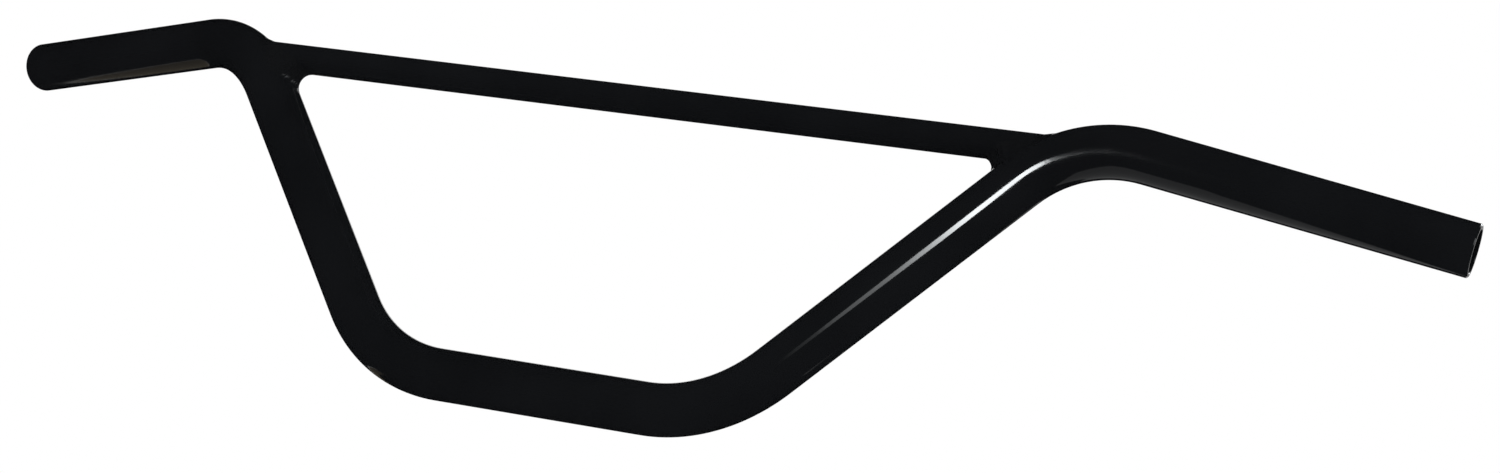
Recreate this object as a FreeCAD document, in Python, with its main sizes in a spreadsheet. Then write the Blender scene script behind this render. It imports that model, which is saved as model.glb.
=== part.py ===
import FreeCAD, Part

import math
import os

from FreeCAD import Placement, Rotation, Vector

# Motorcycle handlebar: one bent steel tube with a welded crossbar.
# Millimetres and degrees. The origin is the centre of the clamp section. X runs along the bar,
# Y points back to the rider and Z up. The bar is drawn with its risers in the XZ plane, and each
# finished piece is then leaned back about X, as the bar sits on a raked fork.

doc = FreeCAD.newDocument("handlebar")

# Driving sizes
SIZES = [
    ("tube_diameter", 22.2, "outside of the bent tube, which clamps and grips fit"),
    ("tube_wall", 2.0, "wall of the bent tube"),
    ("bar_width", 728.0, "between the centres of the two grip ends"),
    ("root_spacing", 418.0, "between the corners of the two upper bends"),
    ("clamp_spacing", 168.0, "between the corners of the two lower bends"),
    ("rise", 140.0, "from the clamp section to the upper corners, along the risers' plane"),
    ("sweep_back", 51.0, "from the risers' plane back to the grip ends"),
    ("grip_drop", 8.0, "from the upper corners down to the grip ends"),
    ("lower_bend_radius", 72.0, "centreline radius between the clamp section and a riser"),
    ("upper_bend_radius", 58.0, "centreline radius between a riser and a grip"),
    ("end_chamfer", 0.6, "deburred outer edge of the tube's two ends"),
    ("crossbar_diameter", 12.7, "outside of the crossbar tube"),
    ("crossbar_wall", 1.6, "wall of the crossbar tube"),
    ("crossbar_drop", 7.0, "from the upper corners down to the crossbar's axis"),
    ("weld_radius", 6.0, "concave radius of the weld beads at the steep side of the joint"),
    ("weld_widest_radius", 15.0, "concave radius at the shallow side of the joint"),
    ("weld_leg", 6.0, "length of the bead's legs where its radius is between these two"),
    ("rake_angle", 30.0, "lean of the risers' plane, back from upright"),
]

sheet = doc.addObject("Spreadsheet::Sheet", "Sizes")
for row, (alias, value, meaning) in enumerate(SIZES, start=1):
    sheet.set(f"A{row}", meaning)
    sheet.set(f"B{row}", str(value))
    sheet.setAlias(f"B{row}", alias)
doc.recompute()

# Bend line of the main tube, from the left grip end to the right one

half_clamp = sheet.clamp_spacing / 2
half_root = sheet.root_spacing / 2
half_width = sheet.bar_width / 2
lower_corner = Vector(half_clamp, 0, 0)
upper_corner = Vector(half_root, 0, sheet.rise)
grip_end = Vector(half_width, sheet.sweep_back, sheet.rise - sheet.grip_drop)


def mirrored(point):
    """The same point on the left side of the bar."""
    return Vector(-point.x, point.y, point.z)


def corner_arc(before, corner, after, radius):
    """Arc of the given radius that rounds a corner and is tangent to both of its runs."""
    to_before = (before - corner).normalize()
    to_after = (after - corner).normalize()
    half_angle = to_before.getAngle(to_after) / 2
    reach = radius / math.tan(half_angle)
    depth = radius / math.sin(half_angle) - radius
    inward = (to_before + to_after).normalize()
    return Part.Arc(corner + to_before * reach, corner + inward * depth, corner + to_after * reach)


def bend_wire(points, radii):
    """Straight runs through the points, joined by tangent arcs."""
    edges = []
    run_start = points[0]
    for index, radius in enumerate(radii, start=1):
        arc = corner_arc(points[index - 1], points[index], points[index + 1], radius)
        edges.append(Part.LineSegment(run_start, arc.StartPoint).toShape())
        edges.append(arc.toShape())
        run_start = arc.EndPoint
    edges.append(Part.LineSegment(run_start, points[-1]).toShape())
    return Part.Wire(edges)


right_points = [lower_corner, upper_corner, grip_end]
left_points = [mirrored(point) for point in reversed(right_points)]
bend_radii = [
    sheet.upper_bend_radius, sheet.lower_bend_radius, sheet.lower_bend_radius, sheet.upper_bend_radius,
]

bend_line = doc.addObject("Part::Feature", "bend_line")
bend_line.Shape = bend_wire(left_points + right_points, bend_radii)
bend_edges = [f"Edge{number}" for number in range(1, len(bend_line.Shape.Edges) + 1)]

# Main tube: a circle swept along the bend line, with the bore swept the same way and cut out

left_end = left_points[0]
left_direction = (left_points[1] - left_end).normalize()


def swept_round(name, radius_expression):
    """Solid round bar of the given radius along the whole bend line."""
    section = doc.addObject("Part::Circle", name + "_section")
    section.Placement = Placement(left_end, Rotation(Vector(0, 0, 1), left_direction))
    section.setExpression("Radius", radius_expression)
    sweep = doc.addObject("Part::Sweep", name)
    sweep.Sections = [section]
    sweep.Spine = (bend_line, bend_edges)
    sweep.Solid = True
    return sweep


tube_outside = swept_round("tube_outside", "Sizes.tube_diameter / 2")
tube_bore = swept_round("tube_bore", "Sizes.tube_diameter / 2 - Sizes.tube_wall")

open_tube = doc.addObject("Part::Cut", "open_tube")
open_tube.Base = tube_outside
open_tube.Tool = tube_bore
doc.recompute()


def outer_end_edges(shape):
    """Numbers of the two outer rims, the circles of the tube's own radius at its ends."""
    rims = []
    for number, edge in enumerate(shape.Edges, start=1):
        if not edge.isClosed() or not isinstance(edge.Curve, Part.Circle):
            continue
        at_end = min((edge.Curve.Center - end).Length for end in (left_end, grip_end)) < 0.01
        if at_end and abs(edge.Curve.Radius - sheet.tube_diameter / 2) < 0.01:
            rims.append(number)
    return rims


main_tube = doc.addObject("Part::Chamfer", "main_tube")
main_tube.Base = open_tube
main_tube.Edges = [(rim, sheet.end_chamfer, sheet.end_chamfer) for rim in outer_end_edges(open_tube.Shape)]

# Crossbar: a thinner tube whose ends are coped to sit on the main tube

CROSSBAR_HEIGHT = "Sizes.rise - Sizes.crossbar_drop"
CROSSBAR_REACH = (
    "Sizes.clamp_spacing / 2"
    " + (Sizes.root_spacing - Sizes.clamp_spacing) / 2 * (1 - Sizes.crossbar_drop / Sizes.rise)"
)


def crossbar_round(name, radius_expression, first_side):
    """Solid round bar along the crossbar, from first_side (-1 left end, 0 middle) to its right end."""
    rod = doc.addObject("Part::Cylinder", name)
    rod.Placement = Placement(Vector(0, 0, 0), Rotation(Vector(0, 0, 1), Vector(1, 0, 0)))
    rod.setExpression("Radius", radius_expression)
    rod.setExpression("Height", f"({CROSSBAR_REACH}) * {1 - first_side}")
    rod.setExpression("Placement.Base.x", f"({CROSSBAR_REACH}) * {first_side}")
    rod.setExpression("Placement.Base.z", CROSSBAR_HEIGHT)
    return rod


crossbar_outside = crossbar_round("crossbar_outside", "Sizes.crossbar_diameter / 2", -1)
crossbar_bore = crossbar_round("crossbar_bore", "Sizes.crossbar_diameter / 2 - Sizes.crossbar_wall", -1)

crossbar_blank = doc.addObject("Part::Cut", "crossbar_blank")
crossbar_blank.Base = crossbar_outside
crossbar_blank.Tool = crossbar_bore

crossbar = doc.addObject("Part::Cut", "crossbar")
crossbar.Base = crossbar_blank
crossbar.Tool = tube_outside

# Weld beads: a closed ring of straight facets round the joint, cut to fit both tubes

BEAD_SECTIONS = 24
# The ring's feet start this far inside both tubes, so that the cut leaves no slit under them
BEAD_BITE = 0.15

right_half_rod = crossbar_round("right_half_rod", "Sizes.crossbar_diameter / 2", 0)
joined_rods = doc.addObject("Part::Fuse", "joined_rods")
joined_rods.Base = tube_outside
joined_rods.Tool = right_half_rod
doc.recompute()

crossbar_height = sheet.rise - sheet.crossbar_drop
crossbar_radius = sheet.crossbar_diameter / 2
tube_radius = sheet.tube_diameter / 2


def nearest_on_bend_line(point):
    """Distance from a point to the bend line, and the nearest place on that line."""
    distance, pairs, _ = bend_line.Shape.distToShape(Part.Vertex(point))
    return distance, pairs[0][0]


def place_at_gap(outward, radius, gap):
    """Point at a radius from the crossbar's axis that is first at that gap from the bend line."""
    near, far = half_clamp, half_root
    for _ in range(30):
        middle = (near + far) / 2
        point = Vector(middle, 0, crossbar_height) + outward * radius
        if nearest_on_bend_line(point)[0] > gap:
            near = middle
        else:
            far = middle
    return Vector(near, 0, crossbar_height) + outward * radius


def bead_radius(ball):
    """Concave radius of the bead, larger where the tubes meet at a shallow angle, to keep its legs long."""
    to_tube = nearest_on_bend_line(ball)[1] - ball
    to_crossbar = Vector(0, -ball.y, crossbar_height - ball.z)
    wanted = sheet.weld_leg / math.tan(to_tube.getAngle(to_crossbar) / 2)
    return min(sheet.weld_widest_radius, max(sheet.weld_radius, wanted))


def bead_section(turn):
    """Section of the bead at one turn round the crossbar, with its feet a little inside both tubes."""
    outward = Vector(0, math.sin(turn), math.cos(turn))
    radius = sheet.weld_radius
    for _ in range(3):
        ball = place_at_gap(outward, crossbar_radius + radius, tube_radius + radius)
        radius = bead_radius(ball)
    ball = place_at_gap(outward, crossbar_radius + radius, tube_radius + radius)
    to_tube = (nearest_on_bend_line(ball)[1] - ball).normalize()
    to_crossbar = outward * -1
    hollow = []
    for share in (1 / 3, 2 / 3):
        direction = (to_crossbar * (1 - share) + to_tube * share).normalize()
        hollow.append(ball + direction * radius)
    foot = radius + BEAD_BITE
    root = place_at_gap(outward, crossbar_radius - BEAD_BITE, tube_radius - BEAD_BITE)
    corners = [ball + to_crossbar * foot, *hollow, ball + to_tube * foot, root]
    return Part.makePolygon(corners + corners[:1])


sections = []
for number in range(BEAD_SECTIONS):
    section = doc.addObject("Part::Feature", f"bead_section_{number + 1}")
    section.Shape = bead_section(math.tau * number / BEAD_SECTIONS)
    sections.append(section)

bead_ring = doc.addObject("Part::Loft", "bead_ring")
bead_ring.Sections = sections
bead_ring.Solid = True
bead_ring.Ruled = True
bead_ring.Closed = True

weld_bead_right = doc.addObject("Part::Cut", "weld_bead_right")
weld_bead_right.Base = bead_ring
weld_bead_right.Tool = joined_rods

weld_bead_left = doc.addObject("Part::Mirroring", "weld_bead_left")
weld_bead_left.Source = weld_bead_right
weld_bead_left.Normal = Vector(1, 0, 0)

# Lean the finished pieces back, check every object and write the pieces

PIECES = [main_tube, crossbar, weld_bead_left, weld_bead_right]
for piece in PIECES:
    piece.Label = piece.Name

# The left bead mirrors the right one across the bar's middle, so it leans with it
for piece in (main_tube, crossbar, weld_bead_right):
    piece.Placement = Placement(Vector(0, 0, 0), Rotation(Vector(-1, 0, 0), sheet.rake_angle))
    piece.setExpression("Placement.Rotation.Angle", "Sizes.rake_angle")
doc.recompute()

for item in doc.Objects:
    if "Invalid" in item.State or "Error" in item.State:
        raise RuntimeError(f"{item.Name} could not be built: {item.State}")
for piece in PIECES:
    if piece.Shape.isNull() or not piece.Shape.isValid() or len(piece.Shape.Solids) != 1:
        raise RuntimeError(f"{piece.Name} is not one valid solid")

wall_area = math.pi * sheet.tube_wall * (sheet.tube_diameter - sheet.tube_wall)
swept_volume = wall_area * bend_line.Shape.Length
if abs(open_tube.Shape.Volume / swept_volume - 1) > 0.001:
    raise RuntimeError("the main tube's volume is not its section times its length")

os.makedirs("parts", exist_ok=True)
for piece in PIECES:
    piece.Shape.exportStep(f"parts/{piece.Label}.step")
    print(piece.Label, round(piece.Shape.Volume, 1), "mm3")
print("bend line", round(bend_line.Shape.Length, 1), "mm")
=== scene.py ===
import math

import bpy
from bpy.props import FloatProperty, FloatVectorProperty, PointerProperty
from bpy.types import Operator, Panel, PropertyGroup
from mathutils import Matrix, Quaternion, Vector


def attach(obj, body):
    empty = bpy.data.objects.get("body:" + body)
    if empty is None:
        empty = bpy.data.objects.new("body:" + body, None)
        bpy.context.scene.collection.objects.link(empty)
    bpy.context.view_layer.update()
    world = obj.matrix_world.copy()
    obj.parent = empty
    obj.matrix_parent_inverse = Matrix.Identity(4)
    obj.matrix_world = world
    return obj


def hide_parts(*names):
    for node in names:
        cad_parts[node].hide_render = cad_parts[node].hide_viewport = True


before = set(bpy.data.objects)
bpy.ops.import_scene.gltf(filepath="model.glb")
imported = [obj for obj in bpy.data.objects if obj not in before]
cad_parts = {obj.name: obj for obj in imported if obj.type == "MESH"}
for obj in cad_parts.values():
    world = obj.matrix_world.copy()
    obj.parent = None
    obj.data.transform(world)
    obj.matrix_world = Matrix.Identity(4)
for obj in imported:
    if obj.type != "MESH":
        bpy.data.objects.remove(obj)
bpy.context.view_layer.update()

bl_info = {
    "name": "Motorcycle Handlebar",
    "version": (1, 0, 0),
    "blender": (4, 5, 0),
    "location": "3D View > Sidebar > Handlebar",
    "description": "Bent handlebar tube with a welded crossbar, its paint and its studio",
    "category": "Add Mesh",
}

# Camera at the photograph's viewing place, in the CAD's frame
CAMERA_PLACE = Vector((1.0223, -1.4985, 0.3799))
CAMERA_AZIMUTH = math.radians(31.6265)
CAMERA_ELEVATION = math.radians(9.7623)
CAMERA_ROLL = math.radians(1.9706)
CAMERA_LENS = 107.038
SENSOR_WIDTH = 36.0
CAMERA_CLIP = (0.05, 60.0)

# Black flags keep the white room out of the bar's gloss. A dome surrounds the bar and is open towards the
# backdrop. Its gap is the small angle that stays open at the other pole.
FLAG_DOME_RADIUS = 6.0
FLAG_DOME_GAP = 0.001
FLAG_RINGS, FLAG_SIDES = 24, 48
FLAG_BLACK = (0.001, 0.001, 0.001)

# Black cloths that lie just above the floor, round the two cards
CLOTH_LIFT = 0.01
FLOOR_FLAGS = (
    ((-4.0, -4.0), (-0.86, -4.0), (-0.86, 4.0), (-4.0, 4.0)),
    ((-0.86, -4.0), (-0.74, -4.0), (-0.74, -0.1), (-0.86, -0.1)),
    ((-0.86, 0.6), (-0.74, 0.6), (-0.74, 4.0), (-0.86, 4.0)),
    ((-0.74, -4.0), (-0.12, -4.0), (-0.12, 4.0), (-0.74, 4.0)),
    ((-0.12, -4.0), (0.40, -4.0), (0.40, -0.5), (-0.12, -0.3)),
    ((-0.12, 0.5), (0.12, 0.5), (0.16, 0.34), (0.40, 0.2), (0.40, 4.0), (-0.12, 4.0)),
    ((0.40, -4.0), (4.0, -4.0), (4.0, 4.0), (0.40, 4.0)),
)

# Small black cloths that hang below the lower right bend and the right grip, each with its height
HUNG_FLAGS = (
    (-0.05, (
        (-0.03, -0.08), (0.165, -0.08), (0.165, 0.01), (0.150, 0.06), (0.140, 0.13), (0.10, 0.25),
        (-0.03, 0.25),
    )),
    (0.0, (
        (0.222, -0.12), (0.236, -0.03), (0.245, 0.011), (0.274, 0.056), (0.302, 0.10), (0.322, 0.155),
        (0.33, 0.22), (0.45, 0.22), (0.45, -0.25), (0.222, -0.25),
    )),
)

# Black board that stands on edge left of the front softbox and hides it from the tubes there: its place
# along the bar, and its corners in y and z
BOARD_PLACE = 0.09
BOARD_CORNERS = ((-0.34, -0.05), (-0.02, -0.05), (-0.02, 0.05), (0.02, 0.11), (0.02, 0.28), (-0.34, 0.28))

# Grey and brown cards on the floor, which show in the undersides of the right and the left grip
CARD_LIFT = 0.005
FLOOR_CARDS = (
    ("grey_card", (0.43, 0.43, 0.43), ((-0.12, -0.5), (0.40, -0.5), (0.40, 0.5), (-0.12, 0.5))),
    ("brown_card", (0.16, 0.135, 0.095), ((-0.86, -0.1), (-0.74, -0.1), (-0.74, 0.6), (-0.86, 0.6))),
)

# Opening of the flags towards the room's white wall, behind the bar's right side. It shows in the gloss
# from other sides and not in the photograph's view. The edge is the share of its reach that is clear.
WALL_TOWARD = Vector((0.25, 0.96, -0.10)).normalized()
WALL_EDGE = 0.8

# Front softbox, whose mirror image is the highlight along the right riser: its direction from the riser,
# its outline across and along the riser, and its brightness from its lower to its upper end
FRONT_TOWARD = Vector((0.137, -0.964, 0.227)).normalized()
FRONT_OUTLINE = (
    (-0.0225, -0.062), (-0.040, 0.03), (-0.032, 0.060), (-0.012, 0.080), (0.035, 0.093), (0.058, 0.093),
    (0.0225, -0.062),
)
FRONT_FADES = (
    (0.0, 0.0), (0.068, 0.012), (0.128, 0.018), (0.186, 0.05), (0.245, 0.07), (0.363, 0.11), (0.422, 0.16),
    (0.481, 0.25), (0.539, 0.36), (0.599, 0.55), (0.657, 0.83), (0.717, 1.0), (0.9, 1.0), (1.0, 0.8),
)

# Larger softboxes round the bar, which show in the gloss from other sides: name, direction, length axis,
# width, length and glow of each
ROOM_LAMPS = (
    ("top_softbox", Vector((0.75, 0.0, 0.66)), Vector((0, 1, 0)), 0.9, 1.0, 2.0),
    ("right_strip", Vector((0.95, 0.3, 0.25)), Vector((0, 0, 1)), 0.35, 1.2, 2.0),
    ("back_softbox", Vector((0.25, 0.96, 0.10)), Vector((0, 0, 1)), 1.1, 0.16, 8.0),
)
ROOM_LAMP_DISTANCE = 2.0
ROOM_LAMP_FADES = ((0.0, 0.0), (0.3, 1.0), (0.7, 1.0), (1.0, 0.0))
ROOM_MIDDLE = Vector((0, 0.05, 0.06))
LAMP_COLOUR = (0.95, 0.985, 1.0, 1)

# The floor turns white between these shares of its radius
FLOOR_FADE = (0.4, 0.95)

# How finely the meshes are divided
TUBE_SIDES = 96
BEND_STEP = math.radians(2.0)
RUN_STEP = 0.012
CROSSBAR_SIDES = 72
CROSSBAR_STEPS = 24
BEAD_SIDES = 240
BEAD_STEPS = 12
FLOOR_RINGS, FLOOR_SIDES = 24, 96

# How often the search for a place on the joint is halved, and how often the ball's radius is corrected
COPE_HALVINGS = 40
BALL_ROUNDS = 3

# Uneven width of a weld bead: two waves round the joint, the second weaker, and how much the ripples lag
# in the middle of the bead. Each bead has its side and the turn at which its waves start.
SWAY_WAVES = (3, 7)
SECOND_SWAY = 0.6
RIPPLE_LAG = 1.4
WELD_BEADS = (("right", 1, 0.8), ("left", -1, 2.1))

# Edges sharper than these angles, in degrees, stay crisp
TUBE_CREASE, CROSSBAR_CREASE, BEAD_CREASE = 25, 40, 50

# Width of the patches in the finishes, in metres
COLOUR_PATCH = 0.045
THIN_PATCH = 0.018
DUST_GRAIN = 0.0009
MILL_SCALE = 0.004
FLOOR_GRAIN = 0.004
CLOTH_WEAVE = 0.002

# The coat: its specular level, the height of the dust as a share of the orange peel's depth, and how
# quickly it thins out over the rim of the open ends
COAT_SPECULAR = 0.32
DUST_SHARE = 0.12
RIM_FADE = 0.7

# The bare steel: its darkest and lightest tint, and its least and greatest roughness
STEEL_TINTS = (0.55, 1.25)
STEEL_ROUGHNESS = (0.38, 0.62)


# Settings

class HandlebarTubeSettings(PropertyGroup):
    """Sizes of the bent tube, the same as in the part's source."""
    diameter: FloatProperty(
        name="Diameter", description="Outside of the bent tube", default=0.0222, unit="LENGTH", precision=4)
    wall: FloatProperty(
        name="Wall", description="Wall of the bent tube", default=0.002, unit="LENGTH", precision=4)
    bar_width: FloatProperty(
        name="Bar width", description="Between the centres of the grip ends", default=0.728, unit="LENGTH")
    root_spacing: FloatProperty(
        name="Upper corners", description="Between the corners of the upper bends", default=0.418,
        unit="LENGTH")
    clamp_spacing: FloatProperty(
        name="Lower corners", description="Between the corners of the lower bends", default=0.168,
        unit="LENGTH")
    rise: FloatProperty(
        name="Rise", description="From the clamp section to the upper corners", default=0.140,
        unit="LENGTH")
    sweep_back: FloatProperty(
        name="Sweep back", description="From the risers' plane back to the grip ends", default=0.051,
        unit="LENGTH")
    grip_drop: FloatProperty(
        name="Grip drop", description="From the upper corners down to the grip ends", default=0.008,
        unit="LENGTH")
    lower_bend_radius: FloatProperty(
        name="Lower bends", description="Centreline radius between clamp section and riser",
        default=0.072, unit="LENGTH")
    upper_bend_radius: FloatProperty(
        name="Upper bends", description="Centreline radius between riser and grip", default=0.058,
        unit="LENGTH")
    end_chamfer: FloatProperty(
        name="End chamfer", description="Deburred outer edge of the open ends", default=0.0006,
        unit="LENGTH", precision=4)
    end_deburr: FloatProperty(
        name="End deburr", description="Broken inner edge of the open ends", default=0.0003,
        unit="LENGTH", precision=4)
    rake: FloatProperty(
        name="Rake", description="Lean of the risers' plane, back from upright", default=math.radians(30),
        unit="ROTATION")
    paint_reach: FloatProperty(
        name="Paint reach", description="How far paint has run over the rim of the open ends",
        default=0.002, unit="LENGTH")


class HandlebarCrossbarSettings(PropertyGroup):
    """Sizes of the crossbar and its weld beads."""
    diameter: FloatProperty(
        name="Diameter", description="Outside of the crossbar tube", default=0.0127, unit="LENGTH",
        precision=4)
    wall: FloatProperty(
        name="Wall", description="Wall of the crossbar tube", default=0.0016, unit="LENGTH", precision=4)
    drop: FloatProperty(
        name="Drop", description="From the upper corners down to the crossbar's axis", default=0.007,
        unit="LENGTH")
    weld_radius: FloatProperty(
        name="Weld radius", description="Concave radius of a bead where the joint is steep", default=0.006,
        unit="LENGTH", precision=4)
    weld_widest_radius: FloatProperty(
        name="Widest weld radius", description="Concave radius where the joint is shallow", default=0.015,
        unit="LENGTH", precision=4)
    weld_leg: FloatProperty(
        name="Weld leg", description="Length of a bead's legs between these radii", default=0.006,
        unit="LENGTH", precision=4)
    ripple_pitch: FloatProperty(
        name="Ripple pitch", description="Spacing of the ripples along a bead", default=0.0023,
        unit="LENGTH", precision=4)
    ripple_height: FloatProperty(
        name="Ripple height", description="Half the depth of the ripples", default=0.00014,
        unit="LENGTH", precision=5)
    wander: FloatProperty(
        name="Wander", description="Uneven width of a bead, as a share of its radius", default=0.06,
        subtype="FACTOR")


class HandlebarPaintSettings(PropertyGroup):
    """Colours and gloss of the finishes."""
    gloss_black: FloatVectorProperty(
        name="Gloss black", description="Colour of the baked paint", default=(0.0066, 0.0071, 0.0081),
        size=3, subtype="COLOR")
    steel: FloatVectorProperty(
        name="Tube steel", description="Bare steel inside the tube", default=(0.62, 0.61, 0.59),
        size=3, subtype="COLOR")
    coat_variation: FloatProperty(
        name="Coat variation", description="How much the coat's colour varies along the bar", default=0.22,
        subtype="FACTOR")
    smooth_roughness: FloatProperty(
        name="Smooth gloss", description="Roughness where the coat has flowed out well", default=0.07,
        subtype="FACTOR")
    dull_roughness: FloatProperty(
        name="Dull gloss", description="Roughness where the coat is thin or dusty", default=0.12,
        subtype="FACTOR")
    weld_dulling: FloatProperty(
        name="Weld dulling", description="How many times rougher the coat is over the weld beads",
        default=3.0)
    peel_size: FloatProperty(
        name="Orange peel size", description="Width of one dimple of the orange peel", default=0.0022,
        unit="LENGTH", precision=4)
    peel_depth: FloatProperty(
        name="Orange peel depth", description="Depth of the orange peel", default=0.000005,
        unit="LENGTH", precision=6)


class HandlebarStageSettings(PropertyGroup):
    """Floor, backdrop and lamps."""
    floor_drop: FloatProperty(
        name="Floor drop", description="How far the floor lies below the clamp section", default=0.5,
        unit="LENGTH")
    floor_radius: FloatProperty(
        name="Floor radius", description="Radius of the round floor", default=1.6, unit="LENGTH")
    floor_colour: FloatVectorProperty(
        name="Floor colour", description="Pale colour of the floor", default=(0.86, 0.86, 0.86), size=3,
        subtype="COLOR")
    floor_white: FloatProperty(
        name="Floor white", description="Share of the background's white that the floor has below the bar",
        default=0.6, subtype="FACTOR")
    fill_light: FloatProperty(
        name="Fill light", description="Even light from all round", default=0.9)
    wall_reach: FloatProperty(
        name="Wall reach", description="Half the angle of the white wall that shows in the gloss",
        default=math.radians(24), unit="ROTATION")
    backdrop_reach: FloatProperty(
        name="Backdrop reach", description="Half the angle of backdrop that the gloss sees behind the bar",
        default=math.radians(16), unit="ROTATION")
    softbox_glow: FloatProperty(
        name="Softbox glow", description="Brightness of the softbox that the right riser reflects",
        default=40.0)
    softbox_distance: FloatProperty(
        name="Softbox distance", description="From the right riser to the softbox", default=0.25,
        unit="LENGTH")


# Bend line

def corner_bend(before, corner, after, radius):
    """Centre, start, axis and angle of the arc that rounds a corner, tangent to both of its runs."""
    to_before = (before - corner).normalized()
    to_after = (after - corner).normalized()
    half_angle = to_before.angle(to_after) / 2
    start = corner + to_before * (radius / math.tan(half_angle))
    centre = corner + (to_before + to_after).normalized() * (radius / math.sin(half_angle))
    return centre, start, to_after.cross(to_before).normalized(), math.pi - 2 * half_angle


class BendLine:
    """Centreline of the bent tube: straight runs joined by tangent bends, leaned back by the rake."""

    def __init__(self, tube):
        upright = [
            Vector((tube.clamp_spacing / 2, 0, 0)),
            Vector((tube.root_spacing / 2, 0, tube.rise)),
            Vector((tube.bar_width / 2, tube.sweep_back, tube.rise - tube.grip_drop)),
        ]
        lean = Matrix.Rotation(-tube.rake, 3, "X")
        right = [lean @ point for point in upright]
        left = [Vector((-point.x, point.y, point.z)) for point in reversed(right)]
        points = left + right
        upper, lower = tube.upper_bend_radius, tube.lower_bend_radius
        self.up = lean @ Vector((0, 0, 1))
        self.back = lean @ Vector((0, 1, 0))
        self.runs, self.bends = [], []
        run_start = points[0]
        for index, radius in enumerate((upper, lower, lower, upper), start=1):
            before, corner, after = points[index - 1:index + 2]
            centre, start, axis, angle = corner_bend(before, corner, after, radius)
            self.runs.append((run_start, start))
            self.bends.append((centre, start - centre, axis, angle))
            run_start = centre + Quaternion(axis, angle) @ (start - centre)
        self.runs.append((run_start, points[-1]))

    def stations(self):
        """Points along the line with the direction of the line there, closer together in the bends."""
        found = []
        for index, (start, end) in enumerate(self.runs):
            direction = (end - start).normalized()
            steps = max(1, round((end - start).length / RUN_STEP))
            found += [(start.lerp(end, step / steps), direction) for step in range(steps + 1)]
            if index < len(self.bends):
                centre, spoke, axis, angle = self.bends[index]
                steps = round(angle / BEND_STEP)
                for step in range(1, steps):
                    turn = Quaternion(axis, angle * step / steps)
                    found.append((centre + turn @ spoke, turn @ direction))
        return found

    def nearest(self, point):
        """The place on the line that is nearest to a point."""
        places = []
        for start, end in self.runs:
            run = end - start
            share = min(1.0, max(0.0, (point - start).dot(run) / run.length_squared))
            places.append(start + run * share)
        for centre, spoke, axis, angle in self.bends:
            flat = (point - centre) - axis * (point - centre).dot(axis)
            turned = math.atan2(axis.dot(spoke.cross(flat)), spoke.dot(flat))
            if 0 <= turned <= angle:
                places.append(centre + flat.normalized() * spoke.length)
        return min(places, key=lambda place: (place - point).length_squared)

    def gap(self, point):
        """How far a point is from the line."""
        return (point - self.nearest(point)).length


# Meshes

def ring_mesh(name, rings, closed_length=False, cover=None):
    """Mesh of quads between rings of points that go round once. Cover is each ring's share of paint."""
    sides = len(rings[0])
    vertices = [point for ring in rings for point in ring]
    faces = []
    count = len(rings)
    for row in range(count if closed_length else count - 1):
        here, there = row * sides, (row + 1) % count * sides
        for side in range(sides):
            beside = (side + 1) % sides
            faces.append((here + side, here + beside, there + beside, there + side))
    mesh = bpy.data.meshes.new(name)
    mesh.from_pydata(vertices, [], faces)
    mesh.shade_smooth()
    if cover is not None:
        layer = mesh.attributes.new("paint_cover", "FLOAT", "POINT")
        layer.data.foreach_set("value", [value for value in cover for _ in range(sides)])
    mesh.validate()
    return mesh


def crease(mesh, degrees):
    """Keeps edges sharper than the angle crisp under smooth shading."""
    mesh.set_sharp_from_angle(angle=math.radians(degrees))


def add_piece(name, mesh, material, node):
    """Puts a mesh into the scene in place of its CAD node."""
    old = bpy.data.objects.get(name)
    if old is not None:
        bpy.data.objects.remove(old)
    piece = bpy.data.objects.new(name, mesh)
    bpy.context.scene.collection.objects.link(piece)
    mesh.materials.append(material)
    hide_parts(node)
    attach(piece, "root")


def tube_rings(stations, offsets):
    """Rings round a line. Offsets gives each ring's station, how far along from it, and its radius."""
    first = stations[0][1]
    side = first.cross(Vector((0, 0, 1))).normalized()
    frames = []
    before = first
    for place, direction in stations:
        side = before.rotation_difference(direction) @ side
        frames.append((place, direction, side, direction.cross(side)))
        before = direction
    rings = []
    for index, along, radius in offsets:
        place, direction, side, across = frames[index]
        centre = place + direction * along
        rings.append([
            centre + (side * math.cos(turn) + across * math.sin(turn)) * radius
            for turn in (math.tau * step / TUBE_SIDES for step in range(TUBE_SIDES))
        ])
    return rings


def main_tube_mesh(tube):
    """Outside, end faces and bore of the bent tube as one closed skin."""
    stations = BendLine(tube).stations()
    last = len(stations) - 1
    outside, bore = tube.diameter / 2, tube.diameter / 2 - tube.wall
    chamfer, deburr = tube.end_chamfer, tube.end_deburr
    lengths = [0.0]
    for before, here in zip(stations, stations[1:]):
        lengths.append(lengths[-1] + (here[0] - before[0]).length)
    total = lengths[-1]

    offsets = [(0, 0.0, outside - chamfer), (0, chamfer, outside)]
    offsets += [(index, 0.0, outside) for index in range(1, last)]
    offsets += [(last, -chamfer, outside), (last, 0.0, outside - chamfer)]
    painted = [1.0] * len(offsets)
    bore_offsets = [(last, 0.0, bore + deburr), (last, -deburr, bore)]
    bore_offsets += [(index, 0.0, bore) for index in range(last - 1, 0, -1)]
    bore_offsets += [(0, deburr, bore), (0, 0.0, bore + deburr)]
    for index, _, _ in bore_offsets:
        from_end = min(lengths[index], total - lengths[index])
        painted.append(max(0.0, 1.0 - from_end / tube.paint_reach) ** RIM_FADE)
    mesh = ring_mesh("main_tube", tube_rings(stations, offsets + bore_offsets), True, painted)
    crease(mesh, TUBE_CREASE)
    return mesh


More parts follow.
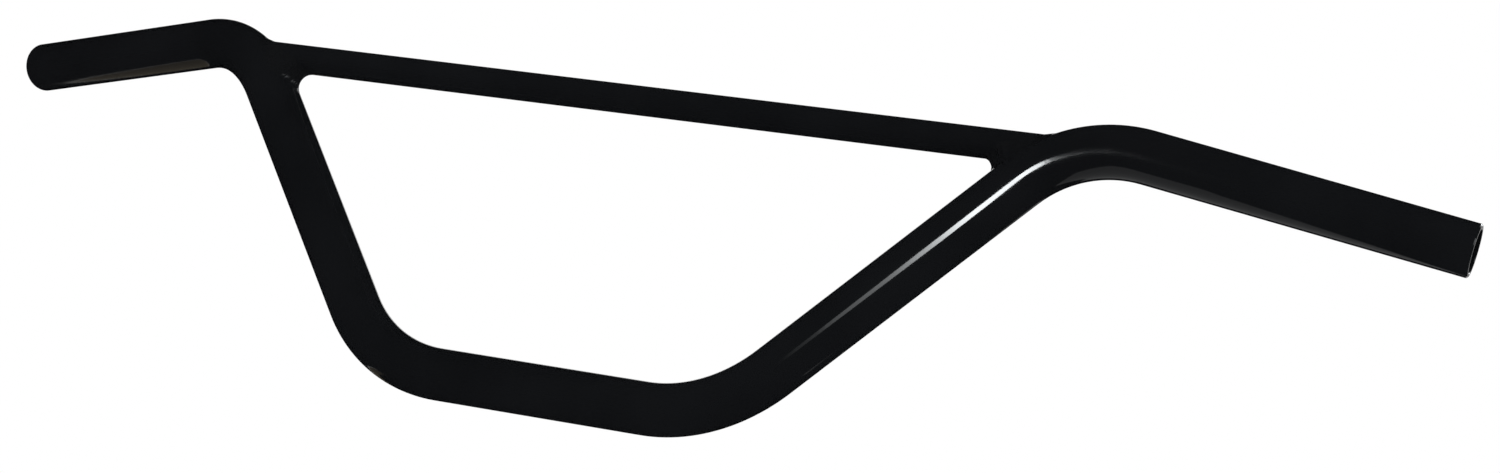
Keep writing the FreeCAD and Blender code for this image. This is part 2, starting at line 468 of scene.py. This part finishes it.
class Joint:
    """Where the crossbar's right end meets the bent tube; the left end is its mirror image."""

    def __init__(self, tube, crossbar):
        self.line = BendLine(tube)
        self.tube_radius = tube.diameter / 2
        self.crossbar_radius = crossbar.diameter / 2
        self.axis_place = self.line.up * (tube.rise - crossbar.drop)
        self.reach = tube.root_spacing / 2

    def outward(self, turn):
        """Direction away from the crossbar's axis."""
        return self.line.up * math.cos(turn) + self.line.back * math.sin(turn)

    def cope(self, turn, radius, gap):
        """Point at that radius from the crossbar's axis that is first at that gap from the bend line."""
        start = self.axis_place + self.outward(turn) * radius
        near, far = self.reach * 0.5, self.reach
        for _ in range(COPE_HALVINGS):
            middle = (near + far) / 2
            if self.line.gap(start + Vector((middle, 0, 0))) > gap:
                near = middle
            else:
                far = middle
        return start + Vector((near, 0, 0))

    def ball_centre(self, turn, radius):
        """Centre of a ball of that radius that touches both tubes."""
        return self.cope(turn, self.crossbar_radius + radius, self.tube_radius + radius)

    def ball_radius(self, turn, crossbar):
        """Radius of the ball that rolls round the joint, larger where the tubes meet at a shallow angle."""
        radius = crossbar.weld_radius
        for _ in range(BALL_ROUNDS):
            centre = self.ball_centre(turn, radius)
            sweep = (self.line.nearest(centre) - centre).angle(-self.outward(turn))
            wanted = crossbar.weld_leg / math.tan(sweep / 2)
            radius = min(crossbar.weld_widest_radius, max(crossbar.weld_radius, wanted))
        return radius


def crossbar_mesh(tube, crossbar):
    """Crossbar tube with both ends coped to the bent tube."""
    joint = Joint(tube, crossbar)
    turns = [math.tau * step / CROSSBAR_SIDES for step in range(CROSSBAR_SIDES)]
    rings = []
    outer = [joint.cope(turn, joint.crossbar_radius, joint.tube_radius) for turn in turns]
    inner = [joint.cope(turn, joint.crossbar_radius - crossbar.wall, joint.tube_radius) for turn in turns]
    for ends, direction in ((outer, 1), (inner, -1)):
        for step in range(CROSSBAR_STEPS + 1):
            share = direction * (2 * step / CROSSBAR_STEPS - 1)
            rings.append([Vector((end.x * share, end.y, end.z)) for end in ends])
    mesh = ring_mesh("crossbar", rings, True)
    crease(mesh, CROSSBAR_CREASE)
    return mesh


def weld_mesh(tube, crossbar, side, start_turn):
    """Concave weld bead round one joint: a rolling ball's fillet with the ripples of the weld."""
    joint = Joint(tube, crossbar)
    seam_length = math.tau * (joint.crossbar_radius + crossbar.weld_radius / 2)
    ripples = round(seam_length / crossbar.ripple_pitch)
    rings = []
    for step in range(BEAD_SIDES):
        turn = math.tau * step / BEAD_SIDES
        first = math.sin(SWAY_WAVES[0] * turn + start_turn)
        second = math.sin(SWAY_WAVES[1] * turn + 2 * start_turn)
        sway = (first + SECOND_SWAY * second) / (1 + SECOND_SWAY)
        radius = joint.ball_radius(turn, crossbar) * (1 + crossbar.wander * sway)
        centre = joint.ball_centre(turn, radius)
        to_tube = (joint.line.nearest(centre) - centre).normalized()
        to_crossbar = -joint.outward(turn)
        sweep = to_crossbar.angle(to_tube)
        ring = []
        for part in range(BEAD_STEPS + 1):
            share = part / BEAD_STEPS
            direction = (
                to_crossbar * math.sin((1 - share) * sweep) + to_tube * math.sin(share * sweep)
            ) / math.sin(sweep)
            bow = math.sin(math.pi * share)
            wave = math.cos(ripples * turn + start_turn + RIPPLE_LAG * bow)
            ring.append(centre + direction * (radius - crossbar.ripple_height * bow * (1 + wave)))
        ring.append(joint.cope(turn, joint.crossbar_radius, joint.tube_radius))
        rings.append([Vector((point.x * side, point.y, point.z)) for point in ring])
    if side > 0:
        rings = [ring[::-1] for ring in rings]
    mesh = ring_mesh("weld_bead", rings, True)
    crease(mesh, BEAD_CREASE)
    return mesh


# Finishes

def new_material(name):
    """Empty node material with a Principled shader and an output."""
    material = bpy.data.materials.get(name) or bpy.data.materials.new(name)
    material.use_nodes = True
    tree = material.node_tree
    tree.nodes.clear()
    shader = tree.nodes.new("ShaderNodeBsdfPrincipled")
    output = tree.nodes.new("ShaderNodeOutputMaterial")
    tree.links.new(shader.outputs["BSDF"], output.inputs["Surface"])
    return material, tree, shader


def add_noise(tree, coordinates, size, detail=2.0, roughness=0.5):
    """Noise whose patches are about the given size across."""
    noise = tree.nodes.new("ShaderNodeTexNoise")
    noise.inputs["Scale"].default_value = 1 / size
    noise.inputs["Detail"].default_value = detail
    noise.inputs["Roughness"].default_value = roughness
    tree.links.new(coordinates, noise.inputs["Vector"])
    return noise.outputs["Fac"]


def add_ramp(tree, factor, low, high, low_value, high_value):
    """Turns a factor between low and high into a value between the two values."""
    spread = tree.nodes.new("ShaderNodeMapRange")
    for socket, value in (
        ("From Min", low), ("From Max", high), ("To Min", low_value), ("To Max", high_value)
    ):
        spread.inputs[socket].default_value = value
    tree.links.new(factor, spread.inputs["Value"])
    return spread.outputs["Result"]


def add_colour_mix(tree, factor, first, second):
    """Colour between first and second; each is a colour or an output socket."""
    mix = tree.nodes.new("ShaderNodeMix")
    mix.data_type = "RGBA"
    tree.links.new(factor, mix.inputs["Factor"])
    for socket, colour in (("A", first), ("B", second)):
        target = [entry for entry in mix.inputs if entry.name == socket and entry.type == "RGBA"][0]
        if isinstance(colour, bpy.types.NodeSocket):
            tree.links.new(colour, target)
        else:
            target.default_value = (*colour, 1.0)
    return [entry for entry in mix.outputs if entry.type == "RGBA"][0]


def add_bump(tree, height, depth, normal=None):
    """Bump whose heights from 0 to 1 stand for the given depth."""
    bump = tree.nodes.new("ShaderNodeBump")
    bump.inputs["Strength"].default_value = 1.0
    bump.inputs["Distance"].default_value = depth
    tree.links.new(height, bump.inputs["Height"])
    if normal is not None:
        tree.links.new(normal, bump.inputs["Normal"])
    return bump.outputs["Normal"]


def tinted(colour, factor):
    """The colour made darker or lighter."""
    return tuple(channel * factor for channel in colour)


def paint_material(name, paint, dulling, cover_used):
    """Baked gloss black: a flowed-out coat with orange peel, duller thin patches and fine dust. Where its
    cover is used, bare tube steel shows beyond the paint."""
    material, tree, shader = new_material(name)
    links = tree.links
    coordinates = tree.nodes.new("ShaderNodeTexCoord").outputs["Object"]

    patches = add_noise(tree, coordinates, COLOUR_PATCH, 3.0)
    grain = add_noise(tree, coordinates, DUST_GRAIN, 2.0)
    black = add_colour_mix(
        tree, add_ramp(tree, patches, 0.35, 0.65, 0.0, 1.0),
        tinted(paint.gloss_black, 1 - paint.coat_variation / 2),
        tinted(paint.gloss_black, 1 + paint.coat_variation / 2))

    thin = add_noise(tree, coordinates, THIN_PATCH, 4.0, 0.6)
    gloss = add_ramp(
        tree, thin, 0.45, 0.75, paint.smooth_roughness * dulling, paint.dull_roughness * dulling)

    peel = add_noise(tree, coordinates, paint.peel_size, 1.0)
    normal = add_bump(tree, peel, paint.peel_depth)
    normal = add_bump(tree, grain, paint.peel_depth * DUST_SHARE, normal)
    colour = black
    if cover_used:
        cover = tree.nodes.new("ShaderNodeAttribute")
        cover.attribute_name = "paint_cover"
        bare = add_ramp(tree, cover.outputs["Fac"], 0.25, 0.75, 1.0, 0.0)
        mill_scale = add_noise(tree, coordinates, MILL_SCALE, 4.0, 0.65)
        steel = add_colour_mix(tree, mill_scale, *(tinted(paint.steel, tint) for tint in STEEL_TINTS))
        colour = add_colour_mix(tree, bare, black, steel)
        rough = tree.nodes.new("ShaderNodeMix")
        rough.data_type = "FLOAT"
        links.new(bare, rough.inputs[0])
        links.new(gloss, rough.inputs[2])
        links.new(add_ramp(tree, mill_scale, 0.3, 0.7, *STEEL_ROUGHNESS), rough.inputs[3])
        gloss = rough.outputs[0]
        links.new(bare, shader.inputs["Metallic"])
    links.new(colour, shader.inputs["Base Color"])
    links.new(gloss, shader.inputs["Roughness"])
    links.new(normal, shader.inputs["Normal"])
    shader.inputs["Specular IOR Level"].default_value = COAT_SPECULAR
    return material


# Stage

def stage_object(name, mesh):
    """Puts a mesh into the scene as part of the stage."""
    old = bpy.data.objects.get(name)
    if old is not None:
        bpy.data.objects.remove(old)
    made = bpy.data.objects.new(name, mesh)
    bpy.context.scene.collection.objects.link(made)
    return made


def add_seen_background(tree):
    """1 for rays that see the background: from the camera, off gloss or through glass."""
    path = tree.nodes.new("ShaderNodeLightPath")
    seen = path.outputs["Is Camera Ray"]
    for kind in ("Is Glossy Ray", "Is Transmission Ray"):
        most = tree.nodes.new("ShaderNodeMath")
        most.operation = "MAXIMUM"
        tree.links.new(seen, most.inputs[0])
        tree.links.new(path.outputs[kind], most.inputs[1])
        seen = most.outputs[0]
    return seen


def floor_mesh(radius):
    """Flat round floor."""
    turns = [math.tau * side / FLOOR_SIDES for side in range(FLOOR_SIDES)]
    vertices = [Vector((0, 0, 0))]
    for ring in range(1, FLOOR_RINGS + 1):
        reach = radius * ring / FLOOR_RINGS
        vertices += [Vector((reach * math.cos(turn), reach * math.sin(turn), 0)) for turn in turns]
    faces = [(0, 1 + side, 1 + (side + 1) % FLOOR_SIDES) for side in range(FLOOR_SIDES)]
    for ring in range(FLOOR_RINGS - 1):
        inner, outer = 1 + ring * FLOOR_SIDES, 1 + (ring + 1) * FLOOR_SIDES
        for side in range(FLOOR_SIDES):
            beside = (side + 1) % FLOOR_SIDES
            faces.append((inner + side, outer + side, outer + beside, inner + beside))
    mesh = bpy.data.meshes.new("floor")
    mesh.from_pydata(vertices, [], faces)
    return mesh


def floor_material(stage):
    """Pale matt floor that turns into the plain white of the background away from the object."""
    material, tree, shader = new_material("floor_pale")
    links = tree.links
    place = tree.nodes.new("ShaderNodeTexCoord").outputs["Object"]
    away = tree.nodes.new("ShaderNodeVectorMath")
    away.operation = "LENGTH"
    links.new(place, away.inputs[0])
    near, far = (share * stage.floor_radius for share in FLOOR_FADE)
    fade = add_ramp(tree, away.outputs["Value"], near, far, stage.floor_white, 1.0)
    grain = add_noise(tree, place, FLOOR_GRAIN, 3.0)
    tone = add_colour_mix(tree, grain, tinted(stage.floor_colour, 0.985), tinted(stage.floor_colour, 1.0))
    links.new(tone, shader.inputs["Base Color"])
    shader.inputs["Roughness"].default_value = 0.9
    shader.inputs["Specular IOR Level"].default_value = 0.1
    white = tree.nodes.new("ShaderNodeEmission")
    white.inputs["Color"].default_value = (1, 1, 1, 1)
    white.inputs["Strength"].default_value = 1.0
    both = tree.nodes.new("ShaderNodeMath")
    both.operation = "MULTIPLY"
    links.new(add_seen_background(tree), both.inputs[0])
    links.new(fade, both.inputs[1])
    blend = tree.nodes.new("ShaderNodeMixShader")
    links.new(both.outputs[0], blend.inputs[0])
    links.new(shader.outputs["BSDF"], blend.inputs[1])
    links.new(white.outputs["Emission"], blend.inputs[2])
    output = [node for node in tree.nodes if node.type == "OUTPUT_MATERIAL"][0]
    links.new(blend.outputs["Shader"], output.inputs["Surface"])
    return material


def build_world(stage):
    """White all round for what sees the background, and even fill light."""
    world = bpy.data.worlds.get("studio") or bpy.data.worlds.new("studio")
    bpy.context.scene.world = world
    world.use_nodes = True
    tree = world.node_tree
    tree.nodes.clear()
    looks = []
    for strength in (stage.fill_light, 1.0):
        look = tree.nodes.new("ShaderNodeBackground")
        look.inputs["Color"].default_value = (1, 1, 1, 1)
        look.inputs["Strength"].default_value = strength
        looks.append(look.outputs["Background"])
    mix = tree.nodes.new("ShaderNodeMixShader")
    output = tree.nodes.new("ShaderNodeOutputWorld")
    tree.links.new(add_seen_background(tree), mix.inputs[0])
    tree.links.new(looks[0], mix.inputs[1])
    tree.links.new(looks[1], mix.inputs[2])
    tree.links.new(mix.outputs["Shader"], output.inputs["Surface"])


def gloss_only(flag):
    """Lets a flag or card show in gloss alone, so that it takes no light from the bar or the floor."""
    for ray in ("camera", "diffuse", "transmission", "volume_scatter", "shadow"):
        setattr(flag, "visible_" + ray, False)


def flag_material(name, colour, stage):
    """Dull cloth or card, with an opening where the gloss sees the white wall."""
    material, tree, shader = new_material(name)
    links = tree.links
    place = tree.nodes.new("ShaderNodeTexCoord").outputs["Object"]
    weave = add_noise(tree, place, CLOTH_WEAVE)
    links.new(
        add_colour_mix(tree, weave, tinted(colour, 0.9), tinted(colour, 1.1)), shader.inputs["Base Color"])
    shader.inputs["Roughness"].default_value = 1.0
    shader.inputs["Specular IOR Level"].default_value = 0.0
    heading = tree.nodes.new("ShaderNodeVectorMath")
    heading.operation = "NORMALIZE"
    links.new(place, heading.inputs[0])
    facing = tree.nodes.new("ShaderNodeVectorMath")
    facing.operation = "DOT_PRODUCT"
    links.new(heading.outputs["Vector"], facing.inputs[0])
    facing.inputs[1].default_value = WALL_TOWARD
    outer, inner = math.cos(stage.wall_reach), math.cos(stage.wall_reach * WALL_EDGE)
    opening = add_ramp(tree, facing.outputs["Value"], outer, inner, 0.0, 1.0)
    blend = tree.nodes.new("ShaderNodeMixShader")
    links.new(opening, blend.inputs[0])
    links.new(shader.outputs["BSDF"], blend.inputs[1])
    links.new(tree.nodes.new("ShaderNodeBsdfTransparent").outputs["BSDF"], blend.inputs[2])
    output = [node for node in tree.nodes if node.type == "OUTPUT_MATERIAL"][0]
    links.new(blend.outputs["Shader"], output.inputs["Surface"])
    return material


def level_outline(outline, height):
    """Corners of a card that lies level at that height."""
    return [Vector((x, y, height)) for x, y in outline]


def add_cards(name, outlines, colour, stage):
    """Flat cards or cloths as one object that shows in gloss alone."""
    corners, faces = [], []
    for outline in outlines:
        faces.append(tuple(range(len(corners), len(corners) + len(outline))))
        corners += outline
    mesh = bpy.data.meshes.new(name)
    mesh.from_pydata(corners, [], faces)
    mesh.materials.append(flag_material(name, colour, stage))
    cards = stage_object(name, mesh)
    gloss_only(cards)
    return cards


def build_flags(stage):
    """Black flags that keep the white room out of the gloss, and the grey and the brown card."""
    away = -camera_back()
    side = away.cross(Vector((0, 0, 1))).normalized()
    lift = side.cross(away)
    rings = []
    for step in range(FLAG_RINGS + 1):
        polar = stage.backdrop_reach + (math.pi - FLAG_DOME_GAP - stage.backdrop_reach) * step / FLAG_RINGS
        rings.append([
            (away * math.cos(polar) + (side * math.cos(turn) + lift * math.sin(turn)) * math.sin(polar))
            * FLAG_DOME_RADIUS
            for turn in (math.tau * count / FLAG_SIDES for count in range(FLAG_SIDES))
        ])
    mesh = ring_mesh("black_dome", rings)
    mesh.materials.append(flag_material("black_dome", FLAG_BLACK, stage))
    gloss_only(stage_object("black_dome", mesh))
    cloths = [level_outline(outline, CLOTH_LIFT - stage.floor_drop) for outline in FLOOR_FLAGS]
    cloths += [level_outline(outline, height) for height, outline in HUNG_FLAGS]
    add_cards("black_cloths", cloths, FLAG_BLACK, stage)
    for name, colour, outline in FLOOR_CARDS:
        add_cards(name, [level_outline(outline, CARD_LIFT - stage.floor_drop)], colour, stage)
    corners = [Vector((BOARD_PLACE, y, z)) for y, z in BOARD_CORNERS]
    board = add_cards("black_board", [corners], FLAG_BLACK, stage)
    board.visible_shadow = True


def add_softbox(name, centre, toward, length_axis, outline, glow, fades):
    """Glowing panel that shows in the bar's gloss, but not to the camera. Its outline is given as steps
    across and along the length axis, and the fades as levels from its lower to its upper end."""
    along = (length_axis - toward * length_axis.dot(toward)).normalized()
    across = toward.cross(along)
    mesh = bpy.data.meshes.new(name)
    corners = [centre + across * aside + along * ahead for aside, ahead in outline]
    mesh.from_pydata(corners, [], [tuple(range(len(corners)))])
    low, high = min(ahead for _, ahead in outline), max(ahead for _, ahead in outline)
    layer = mesh.uv_layers.new(name="UVMap")
    for loop, (_, ahead) in zip(layer.data, outline):
        loop.uv = (0.5, (ahead - low) / (high - low))
    panel = stage_object(name, mesh)
    panel.visible_camera = False
    panel.visible_shadow = False
    material = bpy.data.materials.new(name)
    material.use_nodes = True
    tree = material.node_tree
    tree.nodes.clear()
    split = tree.nodes.new("ShaderNodeSeparateXYZ")
    tree.links.new(tree.nodes.new("ShaderNodeTexCoord").outputs["UV"], split.inputs[0])
    ramp = tree.nodes.new("ShaderNodeValToRGB")
    ramp.color_ramp.interpolation = "LINEAR"
    while len(ramp.color_ramp.elements) < len(fades):
        ramp.color_ramp.elements.new(0.5)
    for stop, (place, level) in zip(ramp.color_ramp.elements, fades):
        stop.position = place
        stop.color = (level, level, level, 1)
    tree.links.new(split.outputs["Y"], ramp.inputs["Fac"])
    strength = tree.nodes.new("ShaderNodeMath")
    strength.operation = "MULTIPLY"
    tree.links.new(ramp.outputs["Color"], strength.inputs[0])
    strength.inputs[1].default_value = glow
    glowing = tree.nodes.new("ShaderNodeEmission")
    glowing.inputs["Color"].default_value = LAMP_COLOUR
    tree.links.new(strength.outputs[0], glowing.inputs["Strength"])
    output = tree.nodes.new("ShaderNodeOutputMaterial")
    tree.links.new(glowing.outputs["Emission"], output.inputs["Surface"])
    mesh.materials.append(material)
    return panel


def rectangle(width, height):
    """Outline of an upright rectangle."""
    across, along = width / 2, height / 2
    return ((-across, -along), (across, -along), (across, along), (-across, along))


def build_lamps(tube, stage):
    """Small softbox that the right riser mirrors, and larger ones that show in the gloss elsewhere."""
    start, end = BendLine(tube).runs[3]
    centre = start.lerp(end, 0.5) + FRONT_TOWARD * stage.softbox_distance
    along_riser = (end - start).normalized()
    front = add_softbox(
        "front_softbox", centre, FRONT_TOWARD, along_riser, FRONT_OUTLINE, stage.softbox_glow, FRONT_FADES)
    front.visible_diffuse = False
    for name, toward, length_axis, width, length, glow in ROOM_LAMPS:
        toward = toward.normalized()
        centre = ROOM_MIDDLE + toward * ROOM_LAMP_DISTANCE
        add_softbox(name, centre, toward, length_axis, rectangle(width, length), glow, ROOM_LAMP_FADES)


def camera_back():
    """Direction from the object back to the photograph's camera."""
    level = math.cos(CAMERA_ELEVATION)
    return Vector((
        math.sin(CAMERA_AZIMUTH) * level, -math.cos(CAMERA_AZIMUTH) * level, math.sin(CAMERA_ELEVATION)
    ))


def build_camera():
    """Camera at the photograph's viewing place."""
    camera = bpy.data.cameras.get("photo_camera") or bpy.data.cameras.new("photo_camera")
    camera.lens = CAMERA_LENS
    camera.sensor_fit = "HORIZONTAL"
    camera.sensor_width = SENSOR_WIDTH
    camera.clip_start, camera.clip_end = CAMERA_CLIP
    holder = bpy.data.objects.get("photo_camera") or bpy.data.objects.new("photo_camera", camera)
    if holder.name not in bpy.context.scene.collection.objects:
        bpy.context.scene.collection.objects.link(holder)
    holder.location = CAMERA_PLACE
    holder.rotation_mode = "QUATERNION"
    aim = (-camera_back()).to_track_quat("-Z", "Y")
    holder.rotation_quaternion = aim @ Quaternion((0, 0, 1), CAMERA_ROLL)
    bpy.context.scene.camera = holder


# Operators

class HANDLEBAR_OT_main_tube(Operator):
    """Build the bent tube in gloss black paint"""
    bl_idname = "handlebar.main_tube"
    bl_label = "Main Tube"
    bl_options = {"REGISTER", "UNDO"}

    def execute(self, context):
        scene = context.scene
        paint = paint_material("gloss_black_paint", scene.handlebar_paint, 1.0, True)
        mesh = main_tube_mesh(scene.handlebar_tube)
        add_piece("painted_main_tube", mesh, paint, "main_tube")
        return {"FINISHED"}


class HANDLEBAR_OT_crossbar(Operator):
    """Build the coped crossbar between the upper bends"""
    bl_idname = "handlebar.crossbar"
    bl_label = "Crossbar"
    bl_options = {"REGISTER", "UNDO"}

    def execute(self, context):
        scene = context.scene
        paint = paint_material("gloss_black_crossbar", scene.handlebar_paint, 1.0, False)
        mesh = crossbar_mesh(scene.handlebar_tube, scene.handlebar_crossbar)
        add_piece("painted_crossbar", mesh, paint, "crossbar")
        return {"FINISHED"}


class HANDLEBAR_OT_weld_beads(Operator):
    """Build the two weld beads that hold the crossbar"""
    bl_idname = "handlebar.weld_beads"
    bl_label = "Weld Beads"
    bl_options = {"REGISTER", "UNDO"}

    def execute(self, context):
        scene = context.scene
        settings = scene.handlebar_paint
        paint = paint_material("gloss_black_weld", settings, settings.weld_dulling, False)
        for side_name, side, start_turn in WELD_BEADS:
            mesh = weld_mesh(scene.handlebar_tube, scene.handlebar_crossbar, side, start_turn)
            add_piece("painted_weld_" + side_name, mesh, paint, "weld_bead_" + side_name)
        return {"FINISHED"}


class HANDLEBAR_OT_stage(Operator):
    """Build the floor, the white surroundings, the lamps and the camera"""
    bl_idname = "handlebar.stage"
    bl_label = "Stage"
    bl_options = {"REGISTER", "UNDO"}

    def execute(self, context):
        scene = context.scene
        stage = scene.handlebar_stage
        floor = stage_object("floor", floor_mesh(stage.floor_radius))
        floor.location.z = -stage.floor_drop
        floor.data.materials.append(floor_material(stage))
        build_world(stage)
        build_flags(stage)
        build_lamps(scene.handlebar_tube, stage)
        build_camera()
        scene.view_settings.view_transform = "Standard"
        return {"FINISHED"}


class HANDLEBAR_PT_panel(Panel):
    """Lists the handlebar's pieces and their settings"""
    bl_idname = "HANDLEBAR_PT_panel"
    bl_label = "Motorcycle Handlebar"
    bl_space_type = "VIEW_3D"
    bl_region_type = "UI"
    bl_category = "Handlebar"

    def draw(self, context):
        layout = self.layout
        for group in SETTINGS:
            box = layout.box()
            settings = getattr(context.scene, group)
            for name in settings.__annotations__:
                box.prop(settings, name)
        for operator in OPERATORS:
            layout.operator(operator.bl_idname)


SETTINGS = {
    "handlebar_tube": HandlebarTubeSettings,
    "handlebar_crossbar": HandlebarCrossbarSettings,
    "handlebar_paint": HandlebarPaintSettings,
    "handlebar_stage": HandlebarStageSettings,
}
OPERATORS = (
    HANDLEBAR_OT_main_tube, HANDLEBAR_OT_crossbar, HANDLEBAR_OT_weld_beads, HANDLEBAR_OT_stage,
)


def register():
    for name, group in SETTINGS.items():
        bpy.utils.register_class(group)
        setattr(bpy.types.Scene, name, PointerProperty(type=group))
    for entry in (*OPERATORS, HANDLEBAR_PT_panel):
        bpy.utils.register_class(entry)


def unregister():
    for entry in reversed((*OPERATORS, HANDLEBAR_PT_panel)):
        bpy.utils.unregister_class(entry)
    for name, group in SETTINGS.items():
        delattr(bpy.types.Scene, name)
        bpy.utils.unregister_class(group)


def main():
    register()
    bpy.ops.handlebar.main_tube()
    bpy.ops.handlebar.crossbar()
    bpy.ops.handlebar.weld_beads()
    bpy.ops.handlebar.stage()
    bpy.context.view_layer.update()


if __name__ == "__main__":
    main()
